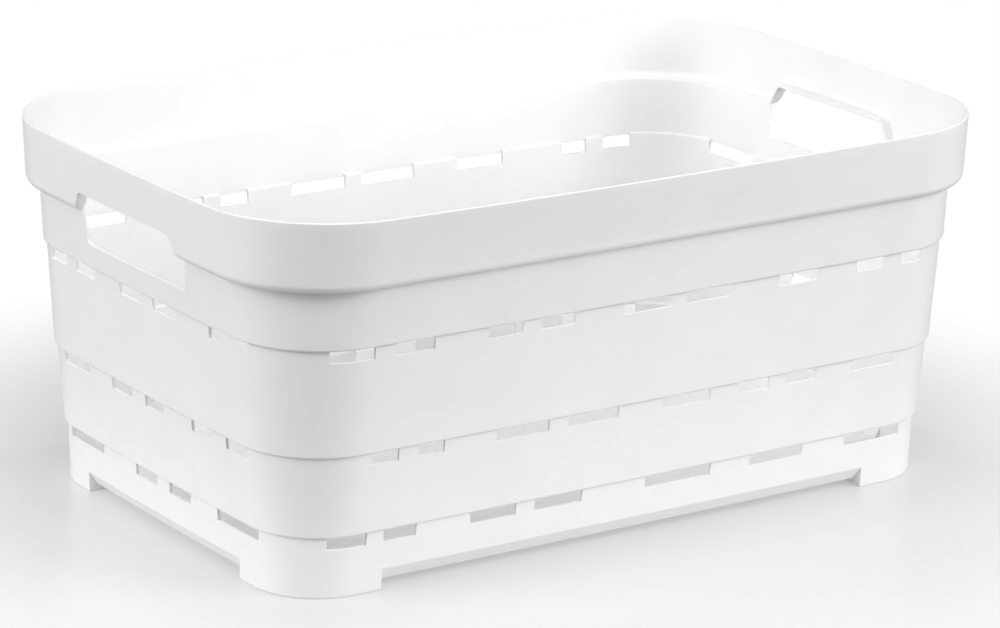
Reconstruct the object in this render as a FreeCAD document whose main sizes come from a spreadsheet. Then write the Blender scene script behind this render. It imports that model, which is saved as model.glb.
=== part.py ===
import FreeCAD, Part
import math
import os

import Sketcher
from FreeCAD import Placement, Rotation, Vector

# Open laundry basket, one injection moulding with no lid and no moving piece.
# Frame: Z up, millimetres, origin at the centre of the footprint on the floor.
# X runs along the length, so the two hand openings are in the -X and +X ends.
#
# The wall steps inward four times on its way down. Each wall section carries
# the ledge at its own foot, so every seam lies in the crease under a ledge.

os.makedirs("parts", exist_ok=True)
doc = FreeCAD.newDocument("laundry_basket")
sheet = doc.addObject("Spreadsheet::Sheet", "sizes")

SIZES = {
    # overall shell
    "wall": 2.0,
    "rim_half_length": 301.3,
    "rim_half_width": 203.2,
    "rim_end_bow": 3500.0,
    "rim_side_bow": 5040.0,
    "rim_corner": 88.3,
    "shell_half_length": 298.5,
    "shell_half_width": 196.9,
    "shell_end_bow": 5400.0,
    "shell_side_bow": 15800.0,
    "shell_corner": 78.5,
    "upper_top_easing": 9.3,
    # heights of the steps above the floor
    "rim_height": 261.0,
    "collar_foot": 213.5,
    "upper_foot": 172.4,
    "middle_foot": 98.8,
    "lower_foot": 42.4,
    "base_foot": 15.0,
    # how far each wall stands in from the shell outline
    "collar_foot_inset": 1.9,
    "upper_top_inset": 8.3,
    "upper_foot_inset": 13.4,
    "middle_top_inset": 15.7,
    "middle_foot_inset": 20.2,
    "lower_top_inset": 22.4,
    "lower_foot_inset": 26.8,
    "base_top_inset": 29.0,
    "base_foot_inset": 30.0,
    # rounds
    "collar_round": 6.0,
    "band_round": 2.2,
    # vent slots under each step
    "slot_height": 8.5,
    # hand openings
    "hand_bottom": 190.0,
    "hand_top": 228.5,
    "hand_half_low": 65.0,
    "hand_half_step": 68.4,
    "hand_half_top": 59.5,
    "hand_round": 4.0,
    "grip_thickness": 2.2,
    "grip_inner_face": 287.6,
    # floor and feet
    "floor_underside": 6.0,
    "floor_slope_run": 6.0,
    "foot_inner_x": 198.5,
    "foot_inner_y": 101.0,
    "foot_round": 1.5,
}
for row, (alias, value) in enumerate(SIZES.items(), start=1):
    sheet.set("A%d" % row, alias)
    sheet.set("B%d" % row, str(value))
    sheet.setAlias("B%d" % row, alias)
doc.recompute()

# Vent slots: (start, width) in mm along each wall, left to right or front to back.
FRONT_SLOTS = {
    "upper": [(-245, 31), (-199, 30), (-128, 27), (-87, 27), (-21, 38), (30, 37),
              (108, 33), (175, 24), (214, 20)],
    "middle": [(-212, 21), (-176, 20), (-116, 42), (-59, 41), (18, 40), (81, 27),
               (122, 27), (181, 36)],
    "lower": [(-239, 28), (-198, 25), (-131, 36), (-80, 38), (10, 55), (98, 46),
              (181, 50)],
}
REAR_SLOTS = {
    "upper": [(-230, 36), (-155, 24), (-117, 23), (-58, 46), (1, 46), (84, 41),
              (178, 22), (215, 24)],
    "middle": [(-217, 36), (-149, 27), (-108, 27), (-58, 40), (18, 41), (74, 42),
               (156, 20), (191, 21)],
    "lower": [(-231, 50), (-144, 46), (-65, 55), (42, 38), (95, 36), (173, 25),
              (211, 28)],
}
LEFT_SLOTS = {
    "upper": [(-131, 45), (-44, 30), (0, 30), (65, 26), (104, 24)],
    "middle": [(-122, 26), (-79, 26), (-17, 25), (25, 28), (85, 37)],
    "lower": [(-125, 50), (-41, 28), (3, 29), (77, 48)],
}
RIGHT_SLOTS = {
    "upper": [(-128, 24), (-91, 26), (-30, 30), (14, 30), (77, 52)],
    "middle": [(-122, 37), (-53, 28), (-8, 25), (53, 26), (96, 26)],
    "lower": [(-125, 48), (-32, 29), (13, 28), (75, 50)],
}


def origin_plane(body, role):
    for feature in body.Origin.OriginFeatures:
        if feature.Role == role:
            return feature


def new_sketch(body, name, role, height="0"):
    """A sketch laid on one of the body's own planes, raised by an expression."""
    sketch = body.newObject("Sketcher::SketchObject", name)
    sketch.AttachmentSupport = [(origin_plane(body, role), "")]
    sketch.MapMode = "FlatFace"
    if height != "0":
        sketch.setExpression("AttachmentOffset.Base.z", height)
    return sketch


def outline(body, name, height, inset="0", kind="shell", easing="0"):
    """Bowed rounded rectangle: four corner arcs joined by four long bow arcs.

    easing enlarges the corner radius beyond the plain inset corner."""
    sketch = new_sketch(body, name, "XY_Plane", height)
    end_bow = "sizes.%s_end_bow" % kind
    side_bow = "sizes.%s_side_bow" % kind
    corner = "sizes.%s_corner" % kind
    r_end = SIZES[kind + "_end_bow"]
    r_side = SIZES[kind + "_side_bow"]
    r_corner = SIZES[kind + "_corner"] + SIZES.get(easing.replace("sizes.", ""), 0)
    end_centre = r_end - SIZES[kind + "_half_length"]
    side_centre = r_side - SIZES[kind + "_half_width"]

    # corner centre: inside both bow arcs by the corner radius
    to_end = r_end - r_corner
    to_side = r_side - r_corner
    span = math.hypot(end_centre, side_centre)
    along = (to_end ** 2 - to_side ** 2 + span ** 2) / (2 * span)
    across = math.sqrt(to_end ** 2 - along ** 2)
    ux = end_centre / span
    uy = -side_centre / span
    px = -end_centre + along * ux - across * uy
    py = along * uy + across * ux
    t_end = math.atan2(py, px + end_centre)
    t_side = math.atan2(py + side_centre, px)
    pi = math.pi
    plan = [
        (-end_centre, 0, r_end, -t_end, t_end),
        (px, py, r_corner, t_end, t_side),
        (0, -side_centre, r_side, t_side, pi - t_side),
        (-px, py, r_corner, pi - t_side, pi - t_end),
        (end_centre, 0, r_end, pi - t_end, pi + t_end),
        (-px, -py, r_corner, pi + t_end, pi + t_side),
        (0, side_centre, r_side, pi + t_side, 2 * pi - t_side),
        (px, -py, r_corner, 2 * pi - t_side, 2 * pi - t_end),
    ]
    for x, y, radius, start, end in plan:
        circle = Part.Circle(Vector(x, y, 0), Vector(0, 0, 1), radius)
        sketch.addGeometry(Part.ArcOfCircle(circle, start, end), False)

    def fix(*args):
        return sketch.addConstraint(Sketcher.Constraint(*args))

    def size(expression, *args):
        sketch.setExpression("Constraints[%d]" % fix(*args), expression)

    for i in range(8):
        fix("Tangent", i, 2, (i + 1) % 8, 1)
    for i in (0, 4):
        fix("PointOnObject", i, 3, -1)
    for i in (2, 6):
        fix("PointOnObject", i, 3, -2)
    for i in (3, 5, 7):
        fix("Equal", 1, i)
    fix("Equal", 0, 4)
    fix("Equal", 2, 6)
    end_gap = "%s - sizes.%s_half_length" % (end_bow, kind)
    side_gap = "%s - sizes.%s_half_width" % (side_bow, kind)
    size(end_gap, "DistanceX", 0, 3, -1, 1, end_centre)
    size(end_gap, "DistanceX", -1, 1, 4, 3, end_centre)
    size(side_gap, "DistanceY", 2, 3, -1, 1, side_centre)
    size(side_gap, "DistanceY", -1, 1, 6, 3, side_centre)
    size("%s - (%s) + %s" % (corner, inset, easing), "Radius", 1, r_corner)
    size("%s - (%s)" % (end_bow, inset), "Radius", 0, r_end)
    size("%s - (%s)" % (side_bow, inset), "Radius", 2, r_side)
    return sketch


def polygon(sketch, corners):
    """Closed polygon; each corner is (x, y, x expression, y expression)."""
    count = len(corners)
    for i in range(count):
        a = corners[i]
        b = corners[(i + 1) % count]
        line = Part.LineSegment(Vector(a[0], a[1], 0), Vector(b[0], b[1], 0))
        sketch.addGeometry(line, False)
    for i in range(count):
        sketch.addConstraint(Sketcher.Constraint("Coincident", i, 2, (i + 1) % count, 1))
    for i, (x, y, x_expression, y_expression) in enumerate(corners):
        for kind, value, expression in (("DistanceX", x, x_expression), ("DistanceY", y, y_expression)):
            constraint = Sketcher.Constraint(kind, -1, 1, i, 1, value)
            index = sketch.addConstraint(constraint)
            sketch.setExpression("Constraints[%d]" % index, expression)
    return sketch


def new_body(name):
    return doc.addObject("PartDesign::Body", name)


def loft(body, name, kind, lowest, *above):
    feature = body.newObject("PartDesign::%sLoft" % kind, name)
    feature.Profile = lowest
    feature.Sections = list(above)
    feature.Ruled = True
    doc.recompute()
    return feature


def pad(body, name, sketch, length):
    feature = body.newObject("PartDesign::Pad", name)
    feature.Profile = sketch
    feature.Type = "Length"
    feature.setExpression("Length", length)
    doc.recompute()
    return feature


def pocket_up(body, name, sketch, length):
    """Cut upwards from the sketch; the volume must fall."""
    before = body.Shape.Volume
    feature = body.newObject("PartDesign::Pocket", name)
    feature.Profile = sketch
    feature.Type = "Length"
    feature.Reversed = True
    feature.setExpression("Length", length)
    doc.recompute()
    assert feature.Shape.Volume < before - 1, name
    return feature


def loops_at(shape, height):
    """Edge names of each closed loop lying at one height, smallest loop first."""
    flat = []
    for i, edge in enumerate(shape.Edges, start=1):
        box = edge.BoundBox
        if abs(box.ZMin - height) < 0.02 and abs(box.ZMax - height) < 0.02:
            flat.append((i, edge))
    loops = []
    for group in Part.sortEdges([edge for i, edge in flat]):
        names = []
        for member in group:
            for i, edge in flat:
                if edge.CenterOfMass.distanceToPoint(member.CenterOfMass) < 0.0001:
                    names.append("Edge%d" % i)
        loops.append((Part.Wire(group).BoundBox.XMax, sorted(set(names))))
    return [names for reach, names in sorted(loops)]


def fillet(body, name, edges, radius):
    previous = body.Tip
    feature = body.newObject("PartDesign::Fillet", name)
    feature.Base = (previous, edges)
    feature.setExpression("Radius", radius)
    doc.recompute()
    assert "Invalid" not in feature.State, name
    return feature


def bent_skin(body, name, kind, foot, top, foot_inset, top_inset, bend, top_kind, top_easing):
    """A drafted skin whose foot turns inward round a bend, as three flat steps."""
    early = "0.293 * (%s)" % bend
    levels = [
        (foot, "%s + %s" % (foot_inset, bend), "shell", "0"),
        ("%s + %s" % (foot, early), "%s + %s" % (foot_inset, early), "shell", "0"),
        ("%s + %s" % (foot, bend), foot_inset, "shell", "0"),
        (top, top_inset, top_kind, top_easing),
    ]
    sections = []
    for i, (height, inset, outline_kind, easing) in enumerate(levels):
        sections.append(outline(body, "%s_%d" % (name, i), height, inset, outline_kind, easing))
    return loft(body, name, kind, *sections)


def wall_section(name, top, foot, top_inset, foot_inset, next_inset, bend, top_kind="shell",
                 top_easing="0", next_easing="0"):
    """One stepped wall: a drafted skin with the ledge at its foot turned inward."""
    body = new_body(name)
    bent_skin(body, name + "_skin", "Additive", foot, top, foot_inset, top_inset, bend,
              top_kind, top_easing)
    ledge = "%s + sizes.wall" % foot
    inner_foot = "%s + sizes.wall" % foot_inset
    inner_top = "%s + sizes.wall" % top_inset
    inner_bend = "(%s - sizes.wall)" % bend
    bent_skin(body, name + "_hollow", "Subtractive", ledge, top, inner_foot, inner_top, inner_bend,
              top_kind, top_easing)
    opening = outline(body, name + "_opening", foot, "%s + sizes.wall" % next_inset, "shell",
                      next_easing)
    pocket_up(body, name + "_through", opening, "sizes.wall + 1")
    return body


# ---- wall sections, from the rim down ----
collar = wall_section("collar_shell", "sizes.rim_height", "sizes.collar_foot", "0",
                      "sizes.collar_foot_inset", "sizes.upper_top_inset",
                      "sizes.collar_round", "rim", next_easing="sizes.upper_top_easing")
upper = wall_section("upper_shell", "sizes.collar_foot", "sizes.upper_foot",
                     "sizes.upper_top_inset", "sizes.upper_foot_inset",
                     "sizes.middle_top_inset", "sizes.band_round",
                     top_easing="sizes.upper_top_easing")
middle = wall_section("middle_shell", "sizes.upper_foot", "sizes.middle_foot",
                      "sizes.middle_top_inset", "sizes.middle_foot_inset",
                      "sizes.lower_top_inset", "sizes.band_round")
lower = wall_section("lower_shell", "sizes.middle_foot", "sizes.lower_foot",
                     "sizes.lower_top_inset", "sizes.lower_foot_inset",
                     "sizes.base_top_inset", "sizes.band_round")

# The base section is a plain drafted skin; the floor and the feet close it below.
base = new_body("base_shell")
loft(base, "base_skin", "Additive",
     outline(base, "base_outer_low", "sizes.base_foot", "sizes.base_foot_inset"),
     outline(base, "base_outer_high", "sizes.lower_foot", "sizes.base_top_inset"))
loft(base, "base_hollow", "Subtractive",
     outline(base, "base_inner_low", "sizes.base_foot", "sizes.base_foot_inset + sizes.wall"),
     outline(base, "base_inner_high", "sizes.lower_foot", "sizes.base_top_inset + sizes.wall"))


# ---- hand openings, one through each end ----
def hand_opening(body, name):
    half = "sizes.hand_half_"
    step = "sizes.collar_foot"
    bottom = "sizes.hand_bottom"
    top = "sizes.hand_top"
    levels = [("low", bottom), ("step", step), ("top", top)]
    right = [(half + side, height) for side, height in levels]
    left = [("-" + half + side, height) for side, height in reversed(levels)]
    corners = []
    for across, height in right + left:
        sign = -1 if across.startswith("-") else 1
        y = sign * SIZES[across.replace("-", "").replace("sizes.", "")]
        z = SIZES[height.replace("sizes.", "")]
        corners.append((y, z, across, height))
    sketch = polygon(new_sketch(body, name + "_shape", "YZ_Plane"), corners)
    before = body.Shape.Volume
    cut = body.newObject("PartDesign::Pocket", name)
    cut.Profile = sketch
    cut.Type = "ThroughAll"
    cut.Midplane = True
    doc.recompute()
    assert cut.Shape.Volume < before - 1, name
    return cut


def corner_edges(shape, half_width, height):
    """Short edges along X at the corners of a hand opening."""
    names = []
    for i, edge in enumerate(shape.Edges, start=1):
        box = edge.BoundBox
        centre = edge.CenterOfMass
        straight = box.YLength < 0.05 and box.ZLength < 0.05
        if straight and abs(abs(centre.y) - half_width) < 0.05 and abs(centre.z - height) < 0.05:
            names.append("Edge%d" % i)
    return names


hand_opening(collar, "collar_hand_opening")
top_corners = corner_edges(collar.Shape, SIZES["hand_half_top"], SIZES["hand_top"])
fillet(collar, "collar_hand_corners", top_corners, "sizes.hand_round")
hand_opening(upper, "upper_hand_opening")
low_corners = corner_edges(upper.Shape, SIZES["hand_half_low"], SIZES["hand_bottom"])
fillet(upper, "upper_hand_corners", low_corners, "sizes.hand_round")


# ---- vent slots ----
def rectangle(sketch, x0, y0, x1, y1):
    corners = [(x0, y0), (x1, y0), (x1, y1), (x0, y1)]
    first = sketch.GeometryCount
    for i in range(4):
        a = corners[i]
        b = corners[(i + 1) % 4]
        line = Part.LineSegment(Vector(a[0], a[1], 0), Vector(b[0], b[1], 0))
        sketch.addGeometry(line, False)
    for i in range(4):
        joint = Sketcher.Constraint("Coincident", first + i, 2, first + (i + 1) % 4, 1)
        sketch.addConstraint(joint)


def slot_cutter(name, foot, foot_inset, next_inset):
    """Everything removed under one step: plan windows limited to inside the upper wall."""
    start = "%s - sizes.slot_height" % foot
    height = "sizes.slot_height + sizes.wall + 1"
    core = new_body(name + "_slot_core")
    limit = "(%s + sizes.wall + %s) / 2" % (foot_inset, next_inset)
    pad(core, name + "_slot_core_pad", outline(core, name + "_slot_limit", start, limit), height)
    windows = new_body(name + "_slot_windows")
    sketch = new_sketch(windows, name + "_slot_plan", "XY_Plane", start)
    for x, width in FRONT_SLOTS[name]:
        rectangle(sketch, x, -220, x + width, -110)
    for x, width in REAR_SLOTS[name]:
        rectangle(sketch, x, 110, x + width, 220)
    for y, width in LEFT_SLOTS[name]:
        rectangle(sketch, -320, y, -251, y + width)
    for y, width in RIGHT_SLOTS[name]:
        rectangle(sketch, 251, y, 320, y + width)
    pad(windows, name + "_slot_window_pad", sketch, height)
    cutter = doc.addObject("Part::MultiCommon", name + "_slot_cutter")
    cutter.Shapes = [core, windows]
    doc.recompute()
    return cutter


def subtract(name, base_object, tool):
    cut = doc.addObject("Part::Cut", name)
    cut.Base = base_object
    cut.Tool = tool
    doc.recompute()
    assert cut.Shape.Volume < base_object.Shape.Volume - 1, name
    return cut


upper_slots = slot_cutter("upper", "sizes.upper_foot", "sizes.upper_foot_inset", "sizes.middle_top_inset")
middle_slots = slot_cutter("middle", "sizes.middle_foot", "sizes.middle_foot_inset", "sizes.lower_top_inset")
lower_slots = slot_cutter("lower", "sizes.lower_foot", "sizes.lower_foot_inset", "sizes.base_top_inset")

rim_collar = collar
upper_band = subtract("upper_band", upper, upper_slots)
middle_open_top = subtract("middle_open_top", middle, upper_slots)
middle_band = subtract("middle_band", middle_open_top, middle_slots)
lower_open_top = subtract("lower_open_top", lower, middle_slots)
lower_band = subtract("lower_band", lower_open_top, lower_slots)
base_band = subtract("base_band", base, lower_slots)

# ---- grip surrounds: a flange behind the upper part of each hand opening ----
cavity = new_body("collar_cavity")
loft(cavity, "cavity_block", "Additive",
     outline(cavity, "cavity_low", "sizes.collar_foot + sizes.wall", "sizes.collar_foot_inset + sizes.wall"),
     outline(cavity, "cavity_high", "sizes.rim_height", "sizes.wall", "rim"))


def grip_surround(name, side):
    body = new_body(name + "_profile")
    slope = "(sizes.hand_half_step - sizes.hand_half_top) / (sizes.hand_top - sizes.collar_foot)"
    slant = "sqrt(1 + (%s) * (%s))" % (slope, slope)
    low = "sizes.collar_foot + sizes.wall"
    inner_low = "(sizes.hand_half_step - sizes.wall * %s)" % slope
    outer_low = "(%s + sizes.grip_thickness * %s)" % (inner_low, slant)
    rise = "(sizes.hand_top + sizes.grip_thickness - (%s))" % low
    outer_top = "(%s - %s * %s)" % (outer_low, rise, slope)

    s = (SIZES["hand_half_step"] - SIZES["hand_half_top"]) / (SIZES["hand_top"] - SIZES["collar_foot"])
    z_low = SIZES["collar_foot"] + SIZES["wall"]
    z_top = SIZES["hand_top"] + SIZES["grip_thickness"]
    y_inner_low = SIZES["hand_half_step"] - SIZES["wall"] * s
    y_outer_low = y_inner_low + SIZES["grip_thickness"] * math.sqrt(1 + s * s)
    y_outer_top = y_outer_low - (z_top - z_low) * s
    top = "sizes.hand_top + sizes.grip_thickness"
    corners = [
        (y_outer_low, z_low, outer_low, low),
        (y_outer_top, z_top, outer_top, top),
        (-y_outer_top, z_top, "-" + outer_top, top),
        (-y_outer_low, z_low, "-" + outer_low, low),
        (-y_inner_low, z_low, "-" + inner_low, low),
        (-SIZES["hand_half_top"], SIZES["hand_top"], "-sizes.hand_half_top", "sizes.hand_top"),
        (SIZES["hand_half_top"], SIZES["hand_top"], "sizes.hand_half_top", "sizes.hand_top"),
        (y_inner_low, z_low, inner_low, low),
    ]
    sketch = polygon(new_sketch(body, name + "_shape", "YZ_Plane"), corners)
    sketch.setExpression("AttachmentOffset.Base.z", "%d * sizes.grip_inner_face" % side)
    block = pad(body, name + "_block", sketch, "sizes.rim_half_length - sizes.grip_inner_face + 5")
    block.Reversed = side < 0
    doc.recompute()
    inner = corner_edges(body.Shape, SIZES["hand_half_top"], SIZES["hand_top"])
    fillet(body, name + "_inner_corners", inner, "sizes.hand_round")
    outer = corner_edges(body.Shape, y_outer_top, z_top)
    fillet(body, name + "_outer_corners", outer, "sizes.hand_round + sizes.grip_thickness")
    inside_part = doc.addObject("Part::MultiCommon", name + "_inside")
    inside_part.Shapes = [body, cavity]
    doc.recompute()
    return subtract(name, inside_part, collar)


grip_left = grip_surround("grip_surround_left", -1)
grip_right = grip_surround("grip_surround_right", 1)

# ---- floor panel: a shallow tray with a sloping edge, notched for the feet ----
floor_top = "sizes.floor_underside + sizes.wall"


def tray_hollow(body, name, kind):
    """The space above the tray: its floor, then the slope up to the base wall."""
    run = "sizes.base_foot_inset + sizes.floor_slope_run + 0.3 * sizes.wall"
    low = outline(body, name + "_low", floor_top, run)
    high = outline(body, name + "_high", "sizes.base_foot", "sizes.base_foot_inset + sizes.wall")
    return loft(body, name, kind, low, high)


floor = new_body("floor_panel")
loft(floor, "floor_block", "Additive",
     outline(floor, "floor_outline", "sizes.floor_underside", "sizes.base_foot_inset + sizes.floor_slope_run"),
     outline(floor, "floor_edge_outline", "sizes.base_foot", "sizes.base_foot_inset"))
tray_hollow(floor, "floor_hollow", "Subtractive")
notches = new_sketch(floor, "foot_notches", "XY_Plane")
for sx in (-1, 1):
    for sy in (-1, 1):
        rectangle(notches, sx * SIZES["foot_inner_x"], sy * SIZES["foot_inner_y"], sx * 320, sy * 220)
pocket_up(floor, "floor_notches", notches, "sizes.base_foot + 1")

# ---- feet: a hollow cup under each corner ----
blank = new_body("foot_blank")
pad(blank, "foot_blank_pad", outline(blank, "foot_outline", "0 * sizes.wall", "sizes.base_foot_inset"),
    "sizes.base_foot")
fillet(blank, "foot_edge", loops_at(blank.Shape, 0)[-1], "sizes.foot_round")
inside = new_body("foot_inside")
pad(inside, "foot_inside_pad",
    outline(inside, "foot_inside_outline", "sizes.wall", "sizes.base_foot_inset + sizes.wall"), "sizes.base_foot")
above = new_body("foot_above")
tray_hollow(above, "foot_above_block", "Additive")


def corner_box(name, margin):
    box = doc.addObject("Part::Box", name)
    box.setExpression("Length", "sizes.shell_half_length - sizes.foot_inner_x - %s" % margin)
    box.setExpression("Width", "sizes.shell_half_width - sizes.foot_inner_y - %s" % margin)
    box.Height = 60
    box.setExpression("Placement.Base.x", "-sizes.shell_half_length")
    box.setExpression("Placement.Base.y", "-sizes.shell_half_width")
    box.setExpression("Placement.Base.z", "-10 * sizes.wall / 2")
    return box


outer_corner = doc.addObject("Part::MultiCommon", "foot_corner")
outer_corner.Shapes = [blank, corner_box("foot_corner_box", "0")]
inner_corner = doc.addObject("Part::MultiCommon", "foot_pocket")
inner_corner.Shapes = [inside, corner_box("foot_pocket_box", "sizes.wall")]
doc.recompute()
cup = subtract("foot_cup", outer_corner, inner_corner)
foot_front_left = subtract("foot_front_left", cup, above)


def mirrored(name, source, normal):
    copy = doc.addObject("Part::Mirroring", name)
    copy.Source = source
    copy.Normal = normal
    doc.recompute()
    return copy


foot_front_right = mirrored("foot_front_right", foot_front_left, Vector(1, 0, 0))
foot_rear_left = mirrored("foot_rear_left", foot_front_left, Vector(0, 1, 0))
foot_rear_right = mirrored("foot_rear_right", foot_front_right, Vector(0, 1, 0))

NODES = {
    "rim_collar": rim_collar,
    "upper_band": upper_band,
    "middle_band": middle_band,
    "lower_band": lower_band,
    "base_band": base_band,
    "floor_panel": floor,
    "foot_front_left": foot_front_left,
    "foot_front_right": foot_front_right,
    "foot_rear_left": foot_rear_left,
    "foot_rear_right": foot_rear_right,
    "grip_surround_left": grip_left,
    "grip_surround_right": grip_right,
}
for label, node in NODES.items():
    node.Label = label
    node.Placement = Placement(Vector(0, 0, 0), Rotation())
doc.recompute()

for item in doc.Objects:
    if "Invalid" in item.State or "Error" in item.State:
        raise RuntimeError("object failed: " + item.Name)
for label, node in NODES.items():
    shape = node.Shape
    if shape.isNull() or not shape.isValid():
        raise RuntimeError("bad shape: " + label)
    shape.exportStep("parts/%s.step" % label)
    box = shape.BoundBox
    print("%-22s solids %d volume %9.0f  x %7.1f %7.1f  y %7.1f %7.1f  z %6.1f %6.1f" % (
        label, len(shape.Solids), shape.Volume,
        box.XMin, box.XMax, box.YMin, box.YMax, box.ZMin, box.ZMax))
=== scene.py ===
import math

import bmesh
import bpy
from mathutils import Matrix, Vector


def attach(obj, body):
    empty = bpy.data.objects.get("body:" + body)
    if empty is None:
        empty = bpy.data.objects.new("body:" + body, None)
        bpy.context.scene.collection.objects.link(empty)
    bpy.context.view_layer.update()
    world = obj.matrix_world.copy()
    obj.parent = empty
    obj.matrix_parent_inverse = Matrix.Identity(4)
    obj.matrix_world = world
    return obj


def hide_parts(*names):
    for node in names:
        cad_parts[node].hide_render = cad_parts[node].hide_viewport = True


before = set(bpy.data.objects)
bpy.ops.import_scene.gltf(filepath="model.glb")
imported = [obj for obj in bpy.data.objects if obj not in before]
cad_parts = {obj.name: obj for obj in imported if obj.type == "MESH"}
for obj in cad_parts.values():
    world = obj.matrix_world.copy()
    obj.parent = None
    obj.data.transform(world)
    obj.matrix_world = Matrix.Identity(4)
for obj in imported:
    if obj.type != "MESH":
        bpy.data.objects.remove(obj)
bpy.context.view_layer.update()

# ---------------------------------------------------------------- sizes, mm
MM = 0.001
WALL = 2.0

RIM_HEIGHT = 261.0
COLLAR_FOOT = 213.5
UPPER_FOOT = 172.4
MIDDLE_FOOT = 98.8
LOWER_FOOT = 42.4
BASE_FOOT = 15.0

# insets from the shell outline: where each wall starts and ends
COLLAR_INSET = 1.9
UPPER_INSETS = (8.3, 13.4)
MIDDLE_INSETS = (15.7, 20.2)
LOWER_INSETS = (22.4, 26.8)
BASE_INSETS = (29.0, 30.0)

# radii of the section: bends under each wall, shoulders where a ledge turns down, the rim
COLLAR_BEND = 6.0
COLLAR_INNER_BEND = 4.0
COLLAR_SHOULDER = 1.5
BAND_BEND = 1.9
BAND_SHOULDER = 1.7
RIM_ROUND = 0.95
EDGE_ROUND = 0.35
SLOT_HEIGHT = 8.5

HAND_BOTTOM = 190.0
HAND_TOP = 228.5
HAND_HALF_LOW = 65.0
HAND_HALF_STEP = 68.4
HAND_HALF_TOP = 59.5
HAND_LOW_ROUND = 5.0
HAND_TOP_ROUND = 4.0
# the hand opening is cut between these distances from the middle
HAND_CUT = (250, 330)
# an edge further out than this lies on the collar's outer face at the hand opening
COLLAR_OUTER_X = 295.2
GRIP_THICKNESS = 2.2
GRIP_INNER_X = 287.6
GRIP_LIP = 0.7
GRIP_GAP = 0.05

FLOOR_UNDERSIDE = 6.0
FLOOR_SLOPE_RUN = 6.0
# the slope's inner face ends this much further in than its outer face
FLOOR_SLOPE_STEP = 0.3 * WALL
FOOT_X = 198.5
FOOT_Y = 101.0
FOOT_ROUND = 1.5

# each outline: half length, half width, bow radius of the ends, of the sides, corner radius
SHELL = (298.5, 196.9, 5400.0, 15800.0, 78.5)
RIM = (301.3, 203.2, 3500.0, 5040.0, 88.3)
# extra corner radius where the upper wall meets the collar, reached in small steps
UPPER_TOP_EASING = 9.3
EASING_STEPS = 64

# mesh divisions along each end, each side and each corner
END_STEPS = 36
SIDE_STEPS = 56
CORNER_STEPS = 24
FLOOR_EDGE_STEPS = 40
FOOT_WALL_STEPS = 60
FOOT_SLOPE_STEPS = 8
# keys closer together than this are one column of the mesh
KEY_GAP = 0.006

CUT_ANGLE = math.radians(35)
SHARP_ANGLE = math.radians(40)

# slots as (start, width), along x on the long walls and along y on the ends
FRONT_SLOTS = {
    "upper": [(-245, 31), (-199, 30), (-128, 27), (-87, 27), (-21, 38), (30, 37),
              (108, 33), (175, 24), (214, 20)],
    "middle": [(-212, 21), (-176, 20), (-116, 42), (-59, 41), (18, 40), (81, 27),
               (122, 27), (181, 36)],
    "lower": [(-239, 28), (-198, 25), (-131, 36), (-80, 38), (10, 55), (98, 46),
              (181, 50)],
}
REAR_SLOTS = {
    "upper": [(-230, 36), (-155, 24), (-117, 23), (-58, 46), (1, 46), (84, 41),
              (178, 22), (215, 24)],
    "middle": [(-217, 36), (-149, 27), (-108, 27), (-58, 40), (18, 41), (74, 42),
               (156, 20), (191, 21)],
    "lower": [(-231, 50), (-144, 46), (-65, 55), (42, 38), (95, 36), (173, 25),
              (211, 28)],
}
LEFT_SLOTS = {
    "upper": [(-131, 45), (-44, 30), (0, 30), (65, 26), (104, 24)],
    "middle": [(-122, 26), (-79, 26), (-17, 25), (25, 28), (85, 37)],
    "lower": [(-125, 50), (-41, 28), (3, 29), (77, 48)],
}
RIGHT_SLOTS = {
    "upper": [(-128, 24), (-91, 26), (-30, 30), (14, 30), (77, 52)],
    "middle": [(-122, 37), (-53, 28), (-8, 25), (53, 26), (96, 26)],
    "lower": [(-125, 48), (-32, 29), (13, 28), (75, 50)],
}


# ---------------------------------------------------------------- the outline
def outline_arcs(half_length, half_width, end_bow, side_bow, corner):
    """Eight tangent arcs, anticlockwise from the +X end: (cx, cy, radius, start, end)."""
    end_centre = end_bow - half_length
    side_centre = side_bow - half_width
    to_end = end_bow - corner
    to_side = side_bow - corner
    span = math.hypot(end_centre, side_centre)
    along = (to_end ** 2 - to_side ** 2 + span ** 2) / (2 * span)
    across = math.sqrt(to_end ** 2 - along ** 2)
    ux = end_centre / span
    uy = -side_centre / span
    px = -end_centre + along * ux - across * uy
    py = along * uy + across * ux
    t_end = math.atan2(py, px + end_centre)
    t_side = math.atan2(py + side_centre, px)
    pi = math.pi
    return [
        (-end_centre, 0, end_bow, -t_end, t_end),
        (px, py, corner, t_end, t_side),
        (0, -side_centre, side_bow, t_side, pi - t_side),
        (-px, py, corner, pi - t_side, pi - t_end),
        (end_centre, 0, end_bow, pi - t_end, pi + t_end),
        (-px, -py, corner, pi + t_end, pi + t_side),
        (0, side_centre, side_bow, pi + t_side, 2 * pi - t_side),
        (px, -py, corner, 2 * pi - t_side, 2 * pi - t_end),
    ]


SHELL_ARCS = outline_arcs(*SHELL)
RIM_ARCS = outline_arcs(*RIM)
EASED_ARCS = [outline_arcs(*SHELL[:4], SHELL[4] + UPPER_TOP_EASING * i / EASING_STEPS)
              for i in range(EASING_STEPS + 1)]
# the arc number of each wall; the odd numbers are the corners
END_RIGHT, SIDE_REAR, END_LEFT, SIDE_FRONT = 0, 2, 4, 6


def on_outline(arcs, key, inset):
    """Point at one place round the outline; key is the arc number plus the fraction along it."""
    number = int(key) % 8
    cx, cy, radius, start, end = arcs[number]
    angle = start + (key - int(key)) * (end - start)
    reach = radius - inset
    return cx + reach * math.cos(angle), cy + reach * math.sin(angle)


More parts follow.
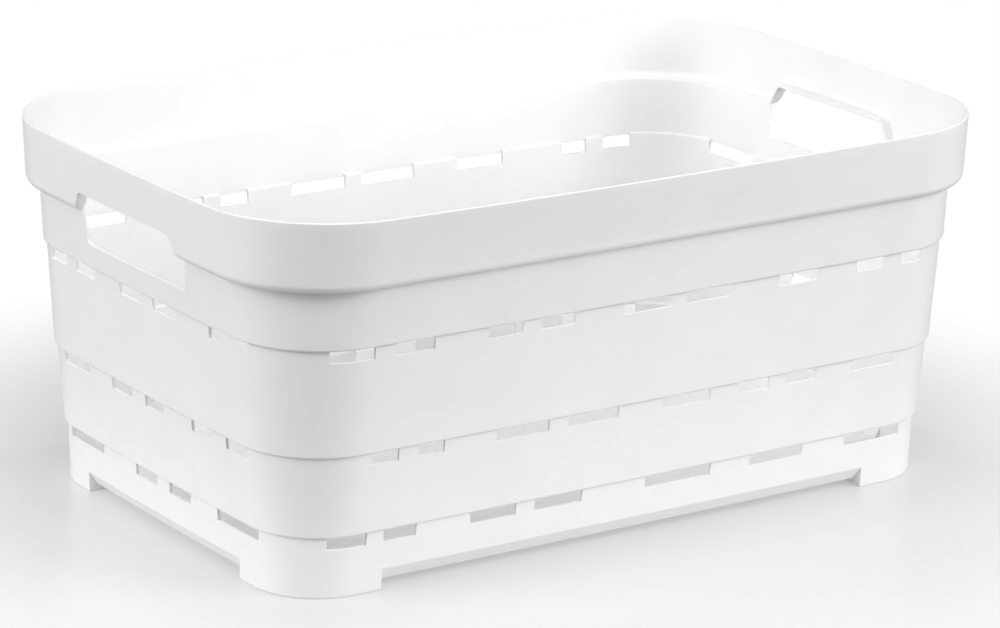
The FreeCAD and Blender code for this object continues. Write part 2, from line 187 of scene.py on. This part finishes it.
def key_where(side, value, inset):
    """The key on one wall where x (long walls) or y (ends) has the given value."""
    along_x = side in (SIDE_REAR, SIDE_FRONT)

    def position(key):
        x, y = on_outline(SHELL_ARCS, key % 8, inset)
        return x if along_x else y

    # the wall with the corner at each of its ends
    low, high = side - 0.98, side + 1.98
    rising = position(high) > position(low)
    for _ in range(60):
        middle = (low + high) / 2
        if (position(middle) < value) == rising:
            low = middle
        else:
            high = middle
    return middle % 8


def slot_spans(row, inset):
    """Key intervals of every slot in one row, all round the basket."""
    spans = []
    walls = (
        (SIDE_FRONT, FRONT_SLOTS),
        (SIDE_REAR, REAR_SLOTS),
        (END_LEFT, LEFT_SLOTS),
        (END_RIGHT, RIGHT_SLOTS),
    )
    for side, slots in walls:
        for start, width in slots[row]:
            a = key_where(side, start, inset)
            b = key_where(side, start + width, inset)
            if (b - a) % 8 > 4:
                a, b = b, a
            spans.append((a, b))
    return spans


def inside(key, spans):
    """Whether a key falls within one of the spans, which may run on past key 8."""
    return any((key - a) % 8 < (b - a) % 8 for a, b in spans)


def base_keys():
    """The even columns of the mesh all round, before the slots add theirs."""
    wall_steps = {END_RIGHT: END_STEPS, END_LEFT: END_STEPS, SIDE_REAR: SIDE_STEPS, SIDE_FRONT: SIDE_STEPS}
    keys = []
    for arc in range(8):
        steps = wall_steps.get(arc, CORNER_STEPS)
        keys += [arc + i / steps for i in range(steps)]
    return keys


# ---------------------------------------------------------------- mesh building
def bevel_weights(work):
    """The layer that says which edges of a mesh get rounded."""
    layers = work.edges.layers.float
    return layers.get("bevel_weight_edge") or layers.new("bevel_weight_edge")


class Skin:
    """Collects shared vertices and faces in mm, then becomes one mesh in metres."""

    def __init__(self):
        self.points = []
        self.lookup = {}
        self.faces = []
        self.cut_faces = set()

    def point(self, p):
        """Index of a point; points that agree to 0.0001 mm are shared."""
        tag = (round(p[0], 4), round(p[1], 4), round(p[2], 4))
        if tag not in self.lookup:
            self.lookup[tag] = len(self.points)
            self.points.append(p)
        return self.lookup[tag]

    def face(self, corners, cut=False):
        """One polygon, left out where its corners fall together; cut marks a slot's end face."""
        loop = []
        for p in corners:
            i = self.point(p)
            if not loop or loop[-1] != i:
                loop.append(i)
        if len(loop) > 1 and loop[0] == loop[-1]:
            loop.pop()
        if len(loop) > 2 and len(set(loop)) == len(loop):
            if cut:
                self.cut_faces.add(len(self.faces))
            self.faces.append(loop)

    def bridge(self, a, b, closed=True, cut=False):
        """Quads between two columns of points; closed joins the last point to the first."""
        count = len(a)
        for i in range(count if closed else count - 1):
            j = (i + 1) % count
            self.face([a[i], b[i], b[j], a[j]], cut)

    def to_mesh(self, name, flat_levels=()):
        """The mesh, with the edges of its cut faces marked for rounding.

        Edges that lie at one of flat_levels are seams with the next piece, and stay sharp."""
        mesh = bpy.data.meshes.new(name)
        mesh.from_pydata([Vector(p) * MM for p in self.points], [], self.faces)
        work = bmesh.new()
        work.from_mesh(mesh)
        work.faces.ensure_lookup_table()
        bmesh.ops.recalc_face_normals(work, faces=work.faces)
        weight = bevel_weights(work)
        cuts = {work.faces[i] for i in self.cut_faces}
        for edge in work.edges:
            if len(edge.link_faces) != 2 or not any(f in cuts for f in edge.link_faces):
                continue
            level = [v.co.z / MM for v in edge.verts]
            if any(abs(level[0] - z) < 0.01 and abs(level[1] - z) < 0.01 for z in flat_levels):
                continue
            if edge.calc_face_angle(0) > CUT_ANGLE:
                edge[weight] = 1.0
        work.to_mesh(mesh)
        work.free()
        return mesh


def arc_points(centre, radius, start, end, steps):
    """Points on a circular arc in the section plane; angles in degrees."""
    points = []
    for i in range(steps + 1):
        angle = math.radians(start + (end - start) * i / steps)
        points.append((centre[0] + radius * math.cos(angle), centre[1] + radius * math.sin(angle)))
    return points


def subdivide(a, b, steps):
    """The points between a and b, without either."""
    return [(a[0] + (b[0] - a[0]) * i / steps, a[1] + (b[1] - a[1]) * i / steps)
            for i in range(1, steps)]


def make_piece(name, mesh, nodes, bevel=EDGE_ROUND):
    """Puts a mesh in the scene as the piece that stands for the given nodes."""
    piece = bpy.data.objects.new(name, mesh)
    bpy.context.scene.collection.objects.link(piece)
    if bevel:
        rounding = piece.modifiers.new("edge_round", "BEVEL")
        rounding.limit_method = "WEIGHT"
        rounding.width = bevel * MM
        rounding.segments = 3
        rounding.use_clamp_overlap = True
        rounding.harden_normals = False
    mesh.shade_smooth()
    mesh.set_sharp_from_angle(angle=SHARP_ANGLE)
    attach(piece, "root")
    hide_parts(*nodes)
    mesh.materials.append(PLASTIC)
    return piece


# ---------------------------------------------------------------- material
def white_plastic():
    """Satin injection-moulded polypropylene: fine moulding grain, soft sheen, slow drift of tone."""
    material = bpy.data.materials.new("white_plastic")
    material.use_nodes = True
    nodes = material.node_tree.nodes
    links = material.node_tree.links
    shader = nodes["Principled BSDF"]
    place = nodes.new("ShaderNodeTexCoord")

    grain = nodes.new("ShaderNodeTexNoise")
    grain.inputs["Scale"].default_value = 1400.0
    grain.inputs["Detail"].default_value = 3.0
    links.new(place.outputs["Object"], grain.inputs["Vector"])
    ripple = nodes.new("ShaderNodeTexNoise")
    ripple.inputs["Scale"].default_value = 26.0
    ripple.inputs["Detail"].default_value = 2.0
    links.new(place.outputs["Object"], ripple.inputs["Vector"])

    tone = nodes.new("ShaderNodeValToRGB")
    tone.color_ramp.elements[0].position = 0.3
    tone.color_ramp.elements[0].color = (0.838, 0.841, 0.841, 1)
    tone.color_ramp.elements[1].position = 0.7
    tone.color_ramp.elements[1].color = (0.864, 0.865, 0.864, 1)
    links.new(ripple.outputs["Fac"], tone.inputs["Fac"])
    links.new(tone.outputs["Color"], shader.inputs["Base Color"])

    gloss = nodes.new("ShaderNodeMapRange")
    gloss.inputs["To Min"].default_value = 0.36
    gloss.inputs["To Max"].default_value = 0.50
    links.new(grain.outputs["Fac"], gloss.inputs["Value"])
    links.new(gloss.outputs["Result"], shader.inputs["Roughness"])

    bump = nodes.new("ShaderNodeBump")
    bump.inputs["Strength"].default_value = 0.12
    bump.inputs["Distance"].default_value = 0.0002
    links.new(grain.outputs["Fac"], bump.inputs["Height"])
    links.new(bump.outputs["Normal"], shader.inputs["Normal"])
    shader.inputs["IOR"].default_value = 1.49
    return material


PLASTIC = white_plastic()


# ---------------------------------------------------------------- wall pieces
def ring(name, profile, place, top_row=None, foot_row=None, slot_insets=(0, 0), seams=()):
    """A closed section carried round the outline, with slots cut in its top edge and its ledge.

    profile(top_slot, ledge_slot) gives the section, and place(key, point) puts a point of it in
    space. top_row and foot_row name the rows of slots, and slot_insets says how far in each row
    is measured. seams are the heights of the edges shared with the next wall."""
    top_spans = slot_spans(top_row, slot_insets[0]) if top_row else []
    foot_spans = slot_spans(foot_row, slot_insets[1]) if foot_row else []
    edges = [key for span in top_spans + foot_spans for key in span]
    keys = edges + [k for k in base_keys() if all(abs(k - e) > KEY_GAP for e in edges)]
    keys = sorted(set(round(k % 8, 6) for k in keys))
    skin = Skin()

    def column(key, kind):
        return [place(key, p) for p in profile(*kind)]

    def kind_between(a, b):
        middle = ((a + b) / 2) % 8
        return inside(middle, top_spans), inside(middle, foot_spans)

    for i, key in enumerate(keys):
        after = keys[i + 1] if i + 1 < len(keys) else keys[0] + 8
        before = keys[i - 1] if i else keys[-1] - 8
        kind = kind_between(key, after)
        kind_before = kind_between(before, key)
        here = column(key, kind)
        skin.bridge(here, column(after % 8, kind))
        if kind != kind_before:
            skin.bridge(here, column(key, kind_before), cut=True)
    return skin.to_mesh(name, seams)


def shell_place(key, point):
    """A section point given as inset from the shell outline and height."""
    inset, height = point
    x, y = on_outline(SHELL_ARCS, key, inset)
    return x, y, height


def upper_place(key, point):
    """As shell_place, with the corners opening out toward the top of the upper wall."""
    inset, height = point
    low = UPPER_FOOT + BAND_BEND
    share = max(0.0, (height - low) / (COLLAR_FOOT - low))
    x, y = on_outline(EASED_ARCS[round(min(share, 1.0) * EASING_STEPS)], key, inset)
    return x, y, height


def collar_place(key, point):
    """The collar leans from the shell outline at its bend to the rim outline at the top.

    A point with a third value lies on the ledge below, whose corners are eased by that share."""
    if len(point) == 3:
        inset, height, share = point
        x, y = on_outline(EASED_ARCS[round(share * EASING_STEPS)], key, inset)
        return x, y, height
    depth, height = point
    bend_top = COLLAR_FOOT + COLLAR_BEND
    share = max(0.0, (height - bend_top) / (RIM_HEIGHT - bend_top))
    x0, y0 = on_outline(SHELL_ARCS, key, COLLAR_INSET + depth)
    x1, y1 = on_outline(RIM_ARCS, key, depth)
    return x0 + (x1 - x0) * share, y0 + (y1 - y0) * share, height


def shoulder(seam, hole, radius, slope):
    """Round from a ledge's top down into the wall below; slope is that wall's lean per mm."""
    lean = math.atan(slope)
    drop = seam + WALL - radius
    centre = (hole + slope * (seam - drop) - radius / math.cos(lean), drop)
    return centre, math.degrees(lean)


def lean_of(top, foot, insets, bend):
    """How far a wall moves in for each mm down, above its bend."""
    return (insets[1] - insets[0]) / (top - foot - bend)


UPPER_LEAN = lean_of(COLLAR_FOOT, UPPER_FOOT, UPPER_INSETS, BAND_BEND)
COLLAR_HOLE = UPPER_INSETS[0] + WALL
COLLAR_CENTRE, COLLAR_TANGENT = shoulder(COLLAR_FOOT, COLLAR_HOLE, COLLAR_SHOULDER, UPPER_LEAN)


def collar_profile(*_):
    """Section of the collar, in depth behind the outer skin and height."""
    inner = COLLAR_INNER_BEND
    foot = COLLAR_FOOT
    section = arc_points((COLLAR_BEND, foot + COLLAR_BEND), COLLAR_BEND, 270, 180, 14)
    section += subdivide(section[-1], (0, RIM_HEIGHT - RIM_ROUND), 8)
    section += arc_points((RIM_ROUND, RIM_HEIGHT - RIM_ROUND), RIM_ROUND, 180, 90, 6)
    section += arc_points((WALL - RIM_ROUND, RIM_HEIGHT - RIM_ROUND), RIM_ROUND, 90, 0, 6)
    corner = arc_points((WALL + inner, foot + WALL + inner), inner, 180, 270, 12)
    section += subdivide(section[-1], corner[0], 8)
    section += corner
    round_over = arc_points(COLLAR_CENTRE, COLLAR_SHOULDER, 90, COLLAR_TANGENT, 10)
    round_over.append((COLLAR_HOLE, foot))
    section += [(x, z, 1.0) for x, z in round_over]
    return section


def band_profile(top, foot, insets, next_inset, next_lean):
    """Maker of a stepped wall's section, in inset from the shell outline and height.

    next_inset and next_lean place the wall below, which the ledge turns down into."""
    top_inset, foot_inset = insets
    low = foot + BAND_BEND
    crest = top - SLOT_HEIGHT
    hole = next_inset + WALL

    def outer_at(z):
        return foot_inset + (top_inset - foot_inset) * (z - low) / (top - low)

    def profile(top_slot, ledge_slot):
        head = crest if top_slot else top
        section = arc_points((foot_inset + BAND_BEND, low), BAND_BEND, 270, 180, 9)
        section += subdivide(section[-1], (outer_at(crest), crest), 6)
        section += [(outer_at(crest), crest), (outer_at(head), head)]
        section.append((outer_at(head) + WALL, head))
        inner_foot = (foot_inset + WALL, foot + WALL)
        section.append((outer_at(crest) + WALL, crest))
        section += subdivide(section[-1], inner_foot, 6)
        centre, tangent = shoulder(foot, hole, BAND_SHOULDER, next_lean)
        ledge = arc_points(centre, BAND_SHOULDER, 90, tangent, 8) + [(hole, foot)]
        section.append(inner_foot)
        section += [inner_foot] * len(ledge) if ledge_slot else ledge
        section.append((foot_inset + WALL, foot))
        return section

    return profile


def base_profile(top_slot, _):
    """Plain drafted wall under the last ledge."""
    top_inset, foot_inset = BASE_INSETS
    crest = LOWER_FOOT - SLOT_HEIGHT
    head = crest if top_slot else LOWER_FOOT

    def outer_at(z):
        return foot_inset + (top_inset - foot_inset) * (z - BASE_FOOT) / (LOWER_FOOT - BASE_FOOT)

    section = [(foot_inset, BASE_FOOT)]
    section += subdivide(section[0], (outer_at(crest), crest), 4)
    section += [(outer_at(crest), crest), (outer_at(head), head), (outer_at(head) + WALL, head)]
    section.append((outer_at(crest) + WALL, crest))
    section += subdivide(section[-1], (foot_inset + WALL, BASE_FOOT), 4)
    section.append((foot_inset + WALL, BASE_FOOT))
    return section


# ---------------------------------------------------------------- hand openings
def rounded(corners, radii, steps=7):
    """A closed polygon with its corners rounded."""
    points = []
    count = len(corners)
    for i, radius in enumerate(radii):
        here = Vector(corners[i])
        back = (Vector(corners[i - 1]) - here).normalized()
        ahead = (Vector(corners[(i + 1) % count]) - here).normalized()
        if radius == 0:
            points.append(tuple(here))
            continue
        half = back.angle(ahead) / 2
        centre = here + (back + ahead).normalized() * radius / math.sin(half)
        start = here + back * radius / math.tan(half) - centre
        end = here + ahead * radius / math.tan(half) - centre
        sweep = start.angle_signed(end)
        for k in range(steps + 1):
            turned = Matrix.Rotation(-sweep * k / steps, 2) @ start
            points.append(tuple(centre + turned))
    return points


def hand_cutter(low, high):
    """Prism along x from low to high with the outline of the hand opening."""
    corners = [(HAND_HALF_LOW, HAND_BOTTOM), (HAND_HALF_STEP, COLLAR_FOOT), (HAND_HALF_TOP, HAND_TOP),
               (-HAND_HALF_TOP, HAND_TOP), (-HAND_HALF_STEP, COLLAR_FOOT), (-HAND_HALF_LOW, HAND_BOTTOM)]
    outline = rounded(corners, (HAND_LOW_ROUND, 0, HAND_TOP_ROUND, HAND_TOP_ROUND, 0, HAND_LOW_ROUND))
    skin = Skin()
    skin.bridge([(low, y, z) for y, z in outline], [(high, y, z) for y, z in outline])
    skin.face([(low, y, z) for y, z in outline])
    skin.face([(high, y, z) for y, z in outline])
    cutter = bpy.data.objects.new("hand_cutter", skin.to_mesh("hand_cutter"))
    bpy.context.scene.collection.objects.link(cutter)
    return cutter


def cut_hand_openings(mesh):
    """Cuts the hand opening through both ends of a wall."""
    piece = bpy.data.objects.new("uncut", mesh)
    bpy.context.scene.collection.objects.link(piece)
    near, far = HAND_CUT
    cutters = [hand_cutter(-far, -near), hand_cutter(near, far)]
    for cutter in cutters:
        cut = piece.modifiers.new("hand_opening", "BOOLEAN")
        cut.operation = "DIFFERENCE"
        cut.solver = "EXACT"
        cut.object = cutter
    graph = bpy.context.evaluated_depsgraph_get()
    done = bpy.data.meshes.new_from_object(piece.evaluated_get(graph))
    done.name = mesh.name
    for helper in [piece] + cutters:
        bpy.data.objects.remove(helper)
    return done


def mark_hand_edges(mesh, chosen):
    """Marks for rounding the hand opening's sharp edges; chosen(middle) picks among them."""
    work = bmesh.new()
    work.from_mesh(mesh)
    weight = bevel_weights(work)
    for edge in work.edges:
        if len(edge.link_faces) != 2 or edge.calc_face_angle(0) < SHARP_ANGLE:
            continue
        middle = (edge.verts[0].co + edge.verts[1].co) / 2 / MM
        in_height = HAND_BOTTOM - 1 < middle.z < HAND_TOP + 1
        in_width = abs(middle.y) < HAND_HALF_STEP + 0.5
        if in_height and in_width and chosen(middle):
            edge[weight] = 1.0
    work.to_mesh(mesh)
    work.free()


# ---------------------------------------------------------------- grip surrounds
def wall_behind(y, z):
    """How far out the collar's inner face lies at one height and width."""
    key = key_where(END_RIGHT, y, COLLAR_INSET + WALL)
    return collar_place(key, (WALL, z))[0]


def grip_surround(name, side):
    """Flange round the top and sides of a hand opening, standing in from the collar."""
    slope = (HAND_HALF_STEP - HAND_HALF_TOP) / (HAND_TOP - COLLAR_FOOT)
    low = COLLAR_FOOT + WALL
    half_low = HAND_HALF_STEP - WALL * slope
    stretch = math.sqrt(1 + slope ** 2)
    outer_low = half_low + GRIP_THICKNESS * stretch
    outer_top = outer_low - (HAND_TOP + GRIP_THICKNESS - low) * slope
    inner = [(half_low, low), (HAND_HALF_TOP, HAND_TOP), (-HAND_HALF_TOP, HAND_TOP), (-half_low, low)]
    outer = [(outer_low, low), (outer_top, HAND_TOP + GRIP_THICKNESS),
             (-outer_top, HAND_TOP + GRIP_THICKNESS), (-outer_low, low)]
    outer_round = HAND_TOP_ROUND + GRIP_THICKNESS
    inner = rounded(inner, (0, HAND_TOP_ROUND, HAND_TOP_ROUND, 0))
    outer = rounded(outer, (0, outer_round, outer_round, 0))
    # across the flange: depth through it and reach in from its free edge, None at the collar
    free_edge = arc_points((GRIP_LIP, GRIP_LIP), GRIP_LIP, 180, 270, 4)
    free_edge += arc_points((GRIP_THICKNESS - GRIP_LIP, GRIP_LIP), GRIP_LIP, 270, 360, 4)
    section = [(0, None)] + free_edge + [(GRIP_THICKNESS, None)]
    skin = Skin()
    columns = []
    for near, far in zip(inner, outer):
        across = Vector(far) - Vector(near)
        column = []
        for depth, reach in section:
            y, z = Vector(near) + across * depth / GRIP_THICKNESS
            if reach is None:
                x = wall_behind(y, max(z, low + COLLAR_INNER_BEND)) + GRIP_GAP
            else:
                x = GRIP_INNER_X + reach
            column.append((side * x, y, z))
        columns.append(column)
    for a, b in zip(columns, columns[1:]):
        skin.bridge(a, b)
    skin.face(columns[0])
    skin.face(columns[-1])
    return skin.to_mesh(name)


# ---------------------------------------------------------------- floor and feet
FOOT_DRAFT = (BASE_INSETS[1] - BASE_INSETS[0]) / (LOWER_FOOT - BASE_FOOT)


def keys_between(a, b, count):
    """Even keys from a anticlockwise to b, both included."""
    span = (b - a) % 8
    return [(a + span * i / count) % 8 for i in range(count + 1)]


def floor_panel():
    """Tray with a sloping edge on each side, notched at the corners for the feet."""
    inset = BASE_INSETS[1]
    top_face = FLOOR_UNDERSIDE + WALL
    low_outer = (inset + FLOOR_SLOPE_RUN, FLOOR_UNDERSIDE)
    low_inner = (low_outer[0] + FLOOR_SLOPE_STEP, top_face)
    section = [(inset, BASE_FOOT)] + subdivide((inset, BASE_FOOT), low_outer, 6) + [low_outer]
    turn = len(section) - 1
    section += [low_inner] + subdivide(low_inner, (inset + WALL, BASE_FOOT), 6)
    section.append((inset + WALL, BASE_FOOT))
    sides = [
        (SIDE_FRONT, -FOOT_X, FOOT_X, (FOOT_X, -FOOT_Y)),
        (END_RIGHT, -FOOT_Y, FOOT_Y, (FOOT_X, FOOT_Y)),
        (SIDE_REAR, FOOT_X, -FOOT_X, (-FOOT_X, FOOT_Y)),
        (END_LEFT, FOOT_Y, -FOOT_Y, (-FOOT_X, -FOOT_Y)),
    ]
    notches = [notch for *_, notch in sides]
    skin = Skin()
    under = []
    over = []
    for side, start, end, notch in sides:
        a = key_where(side, start, inset)
        b = key_where(side, end, inset)
        columns = [[shell_place(k, p) for p in section] for k in keys_between(a, b, FLOOR_EDGE_STEPS)]
        for left, right in zip(columns, columns[1:]):
            for i in range(len(section) - 1):
                if i != turn:
                    skin.face([left[i], right[i], right[i + 1], left[i + 1]])
            skin.face([left[-1], right[-1], right[0], left[0]])
        skin.face(columns[0])
        skin.face(columns[-1])
        under += [p[turn] for p in columns] + [(*notch, FLOOR_UNDERSIDE)]
        over += [p[turn + 1] for p in columns] + [(*notch, top_face)]
    skin.face(under)
    skin.face(over)
    count = len(under)
    for i in range(count):
        j = (i + 1) % count
        if under[i][:2] in notches or under[j][:2] in notches:
            skin.face([under[i], under[j], over[j], over[i]])
    return skin.to_mesh("floor_panel")


def foot(name, sx, sy):
    """Hollow cup under one corner; built for the front left and mirrored by the signs."""
    inset = BASE_INSETS[1]
    first = key_where(END_LEFT, -FOOT_Y, inset)
    last = key_where(SIDE_FRONT, -FOOT_X, inset)
    floor_top = FLOOR_UNDERSIDE + WALL
    slope_end = FLOOR_SLOPE_RUN + FLOOR_SLOPE_STEP

    def tray_height(depth):
        """Height of the tray's inner face at one distance in from the base wall."""
        share = min(1.0, max(0.0, (depth - WALL) / (slope_end - WALL)))
        return BASE_FOOT + (floor_top - BASE_FOOT) * share

    def on_wall(key, depth, z):
        """Point at one depth behind the foot's outer face, which carries on the base wall's draft."""
        draft = (BASE_FOOT - z) * FOOT_DRAFT
        return on_outline(SHELL_ARCS, key, inset + draft + depth)

    depths = [WALL + (slope_end - WALL) * i / FOOT_SLOPE_STEPS for i in range(FOOT_SLOPE_STEPS + 1)]
    # round the foot: the height of the cup's wall, and where a point of its section goes
    path = []
    for key in keys_between(first, last, FOOT_WALL_STEPS)[1:-1]:
        path.append((BASE_FOOT, lambda d, z, k=key: on_wall(k, d, z)))
    edge_y = on_outline(SHELL_ARCS, last, inset)[1]
    edge_x = on_outline(SHELL_ARCS, first, inset)[0]
    path.append((BASE_FOOT, lambda d, z: (-FOOT_X - d, on_wall(last, d, z)[1])))
    for depth in depths:
        path.append((tray_height(depth), lambda d, z, t=depth: (-FOOT_X - d, edge_y + t)))
    path.append((floor_top, lambda d, z: (-FOOT_X - d, -FOOT_Y - d)))
    for depth in reversed(depths):
        path.append((tray_height(depth), lambda d, z, t=depth: (edge_x + t, -FOOT_Y - d)))
    path.append((BASE_FOOT, lambda d, z: (on_wall(first, d, z)[0], -FOOT_Y - d)))

    skin = Skin()
    columns = []
    for height, at in path:
        column = []
        for d, z in arc_points((FOOT_ROUND, FOOT_ROUND), FOOT_ROUND, 270, 180, 5):
            column.append((d, z))
        column += [(0, height), (WALL, height), (WALL, WALL)]
        columns.append([(-sx * at(d, z)[0], -sy * at(d, z)[1], z) for d, z in column])
    for a, b in zip(columns, columns[1:] + columns[:1]):
        skin.bridge(a, b, closed=False)
    skin.face([c[0] for c in columns])
    skin.face([c[-1] for c in columns])
    return skin.to_mesh(name)


# ---------------------------------------------------------------- assemble
collar_mesh = cut_hand_openings(ring("rim_collar", collar_profile, collar_place))
mark_hand_edges(collar_mesh, lambda middle: abs(middle.x) > COLLAR_OUTER_X)
make_piece("basket_rim_collar", collar_mesh, ["rim_collar"])

middle_lean = lean_of(UPPER_FOOT, MIDDLE_FOOT, MIDDLE_INSETS, BAND_BEND)
lower_lean = lean_of(MIDDLE_FOOT, LOWER_FOOT, LOWER_INSETS, BAND_BEND)
upper_profile = band_profile(COLLAR_FOOT, UPPER_FOOT, UPPER_INSETS, MIDDLE_INSETS[0], middle_lean)
upper_mesh = ring("upper_band", upper_profile, upper_place, foot_row="upper",
                  slot_insets=(0, MIDDLE_INSETS[0]), seams=(UPPER_FOOT,))
upper_mesh = cut_hand_openings(upper_mesh)
mark_hand_edges(upper_mesh, lambda middle: middle.z < COLLAR_FOOT - 0.1)
make_piece("basket_upper_band", upper_mesh, ["upper_band"])

middle_profile = band_profile(UPPER_FOOT, MIDDLE_FOOT, MIDDLE_INSETS, LOWER_INSETS[0], lower_lean)
middle_mesh = ring("middle_band", middle_profile, shell_place, "upper", "middle",
                   (MIDDLE_INSETS[0], LOWER_INSETS[0]), (UPPER_FOOT, MIDDLE_FOOT))
make_piece("basket_middle_band", middle_mesh, ["middle_band"])

lower_profile = band_profile(MIDDLE_FOOT, LOWER_FOOT, LOWER_INSETS, BASE_INSETS[0], FOOT_DRAFT)
lower_mesh = ring("lower_band", lower_profile, shell_place, "middle", "lower",
                  (LOWER_INSETS[0], BASE_INSETS[0]), (MIDDLE_FOOT, LOWER_FOOT))
make_piece("basket_lower_band", lower_mesh, ["lower_band"])

base_mesh = ring("base_band", base_profile, shell_place, "lower", None, (BASE_INSETS[0], 0),
                 (LOWER_FOOT, BASE_FOOT))
make_piece("basket_base_band", base_mesh, ["base_band"])
make_piece("basket_floor", floor_panel(), ["floor_panel"], bevel=0)

for depth_name, sy in (("front", -1), ("rear", 1)):
    for side_name, sx in (("left", -1), ("right", 1)):
        node = "foot_%s_%s" % (depth_name, side_name)
        make_piece("basket_" + node, foot(node, sx, sy), [node], bevel=0)
for side_name, side in (("left", -1), ("right", 1)):
    node = "grip_surround_" + side_name
    make_piece("basket_" + node, grip_surround(node, side), [node], bevel=0)


# ---------------------------------------------------------------- stage, light, camera
FLOOR_RADIUS = 6.0
LIGHT_AIM = Vector((0, 0, 0.12))
LIGHT_DISTANCE = 2.6
# degrees, metres and the lens in mm
CAMERA_AZIMUTH = -34.76
CAMERA_ELEVATION = 16.965
CAMERA_ROLL = 1.293
CAMERA_TARGET = Vector((17.06, -18.29, 112.68)) * MM
CAMERA_DISTANCE = 3.057
CAMERA_LENS = 158.07
CAMERA_SHIFT = (-0.0309, 0.0048)


def fading_floor(radius):
    """A pale, faintly glossy floor, lit a little from within, that fades into the white surround."""
    bpy.ops.mesh.primitive_circle_add(vertices=128, radius=radius, fill_type="NGON")
    floor = bpy.context.object
    floor.name = "studio_floor"
    material = bpy.data.materials.new("studio_floor")
    material.use_nodes = True
    nodes = material.node_tree.nodes
    links = material.node_tree.links
    shader = nodes["Principled BSDF"]
    shader.inputs["Base Color"].default_value = (0.44, 0.44, 0.44, 1)
    shader.inputs["Emission Color"].default_value = (1, 1, 1, 1)
    shader.inputs["Emission Strength"].default_value = 0.29
    shader.inputs["Roughness"].default_value = 0.28
    shader.inputs["Specular IOR Level"].default_value = 0.3
    clear = nodes.new("ShaderNodeBsdfTransparent")
    blend = nodes.new("ShaderNodeMixShader")
    place = nodes.new("ShaderNodeTexCoord")
    far = nodes.new("ShaderNodeVectorMath")
    far.operation = "LENGTH"
    fade = nodes.new("ShaderNodeMapRange")
    fade.interpolation_type = "SMOOTHSTEP"
    # distance from the middle, in metres, where the fading starts and ends
    fade.inputs["From Min"].default_value = 0.28
    fade.inputs["From Max"].default_value = 0.56
    links.new(place.outputs["Object"], far.inputs[0])
    links.new(far.outputs["Value"], fade.inputs["Value"])
    links.new(fade.outputs["Result"], blend.inputs["Fac"])
    links.new(shader.outputs["BSDF"], blend.inputs[1])
    links.new(clear.outputs["BSDF"], blend.inputs[2])
    links.new(blend.outputs["Shader"], nodes["Material Output"].inputs["Surface"])
    floor.data.materials.append(material)


def direction(azimuth, elevation):
    """Unit vector in degrees; azimuth 0 is in front, 90 on the right."""
    a = math.radians(azimuth)
    e = math.radians(elevation)
    return Vector((math.sin(a) * math.cos(e), -math.cos(a) * math.cos(e), math.sin(e)))


def softbox(name, azimuth, elevation, size, power):
    """An area light aimed at the basket; size in metres, power in watts."""
    away = direction(azimuth, elevation)
    data = bpy.data.lights.new(name, "AREA")
    data.shape = "RECTANGLE"
    data.size, data.size_y = size
    data.energy = power
    light = bpy.data.objects.new(name, data)
    bpy.context.scene.collection.objects.link(light)
    light.location = LIGHT_AIM + away * LIGHT_DISTANCE
    light.rotation_mode = "QUATERNION"
    light.rotation_quaternion = away.to_track_quat("Z", "Y")


def studio_world(fill, backdrop):
    """White surround: the camera sees the backdrop, and the basket gets the softer fill."""
    world = bpy.data.worlds.new("studio")
    bpy.context.scene.world = world
    world.use_nodes = True
    nodes = world.node_tree.nodes
    links = world.node_tree.links
    shade = nodes["Background"]
    shade.inputs["Color"].default_value = (1, 1, 1, 1)
    shade.inputs["Strength"].default_value = fill
    seen = nodes.new("ShaderNodeBackground")
    seen.inputs["Color"].default_value = (1, 1, 1, 1)
    seen.inputs["Strength"].default_value = backdrop
    path = nodes.new("ShaderNodeLightPath")
    blend = nodes.new("ShaderNodeMixShader")
    links.new(path.outputs["Is Camera Ray"], blend.inputs["Fac"])
    links.new(shade.outputs["Background"], blend.inputs[1])
    links.new(seen.outputs["Background"], blend.inputs[2])
    links.new(blend.outputs["Shader"], nodes["World Output"].inputs["Surface"])


def camera():
    """Long-lens view from the front left, a little above the rim."""
    roll = math.radians(CAMERA_ROLL)
    back = direction(CAMERA_AZIMUTH, CAMERA_ELEVATION)
    right = (-back).cross(Vector((0, 0, 1))).normalized()
    up = right.cross(-back)
    tilted = right * math.cos(roll) + up * math.sin(roll)
    upright = up * math.cos(roll) - right * math.sin(roll)
    data = bpy.data.cameras.new("camera")
    data.lens = CAMERA_LENS
    data.sensor_width = 36.0
    data.shift_x, data.shift_y = CAMERA_SHIFT
    data.clip_end = 100
    eye = bpy.data.objects.new("camera", data)
    bpy.context.scene.collection.objects.link(eye)
    turn = Matrix((tilted, upright, back)).transposed()
    eye.matrix_world = Matrix.Translation(CAMERA_TARGET + back * CAMERA_DISTANCE) @ turn.to_4x4()
    bpy.context.scene.camera = eye


fading_floor(FLOOR_RADIUS)
studio_world(fill=0.235, backdrop=1.0)
softbox("key_left", -102, 23, (1.4, 1.4), 42)
softbox("key_right", 36, 25, (1.4, 1.4), 47.5)
softbox("front_high", -38, 50, (1.8, 1.3), 18)
softbox("rear_left", -150, 30, (1.3, 1.3), 2)
softbox("rear_right", 140, 28, (1.3, 1.3), 3)
softbox("overhead", 0, 89, (0.6, 0.6), 12)
camera()
bpy.context.scene.view_settings.view_transform = "Standard"
bpy.context.scene.view_settings.look = "None"
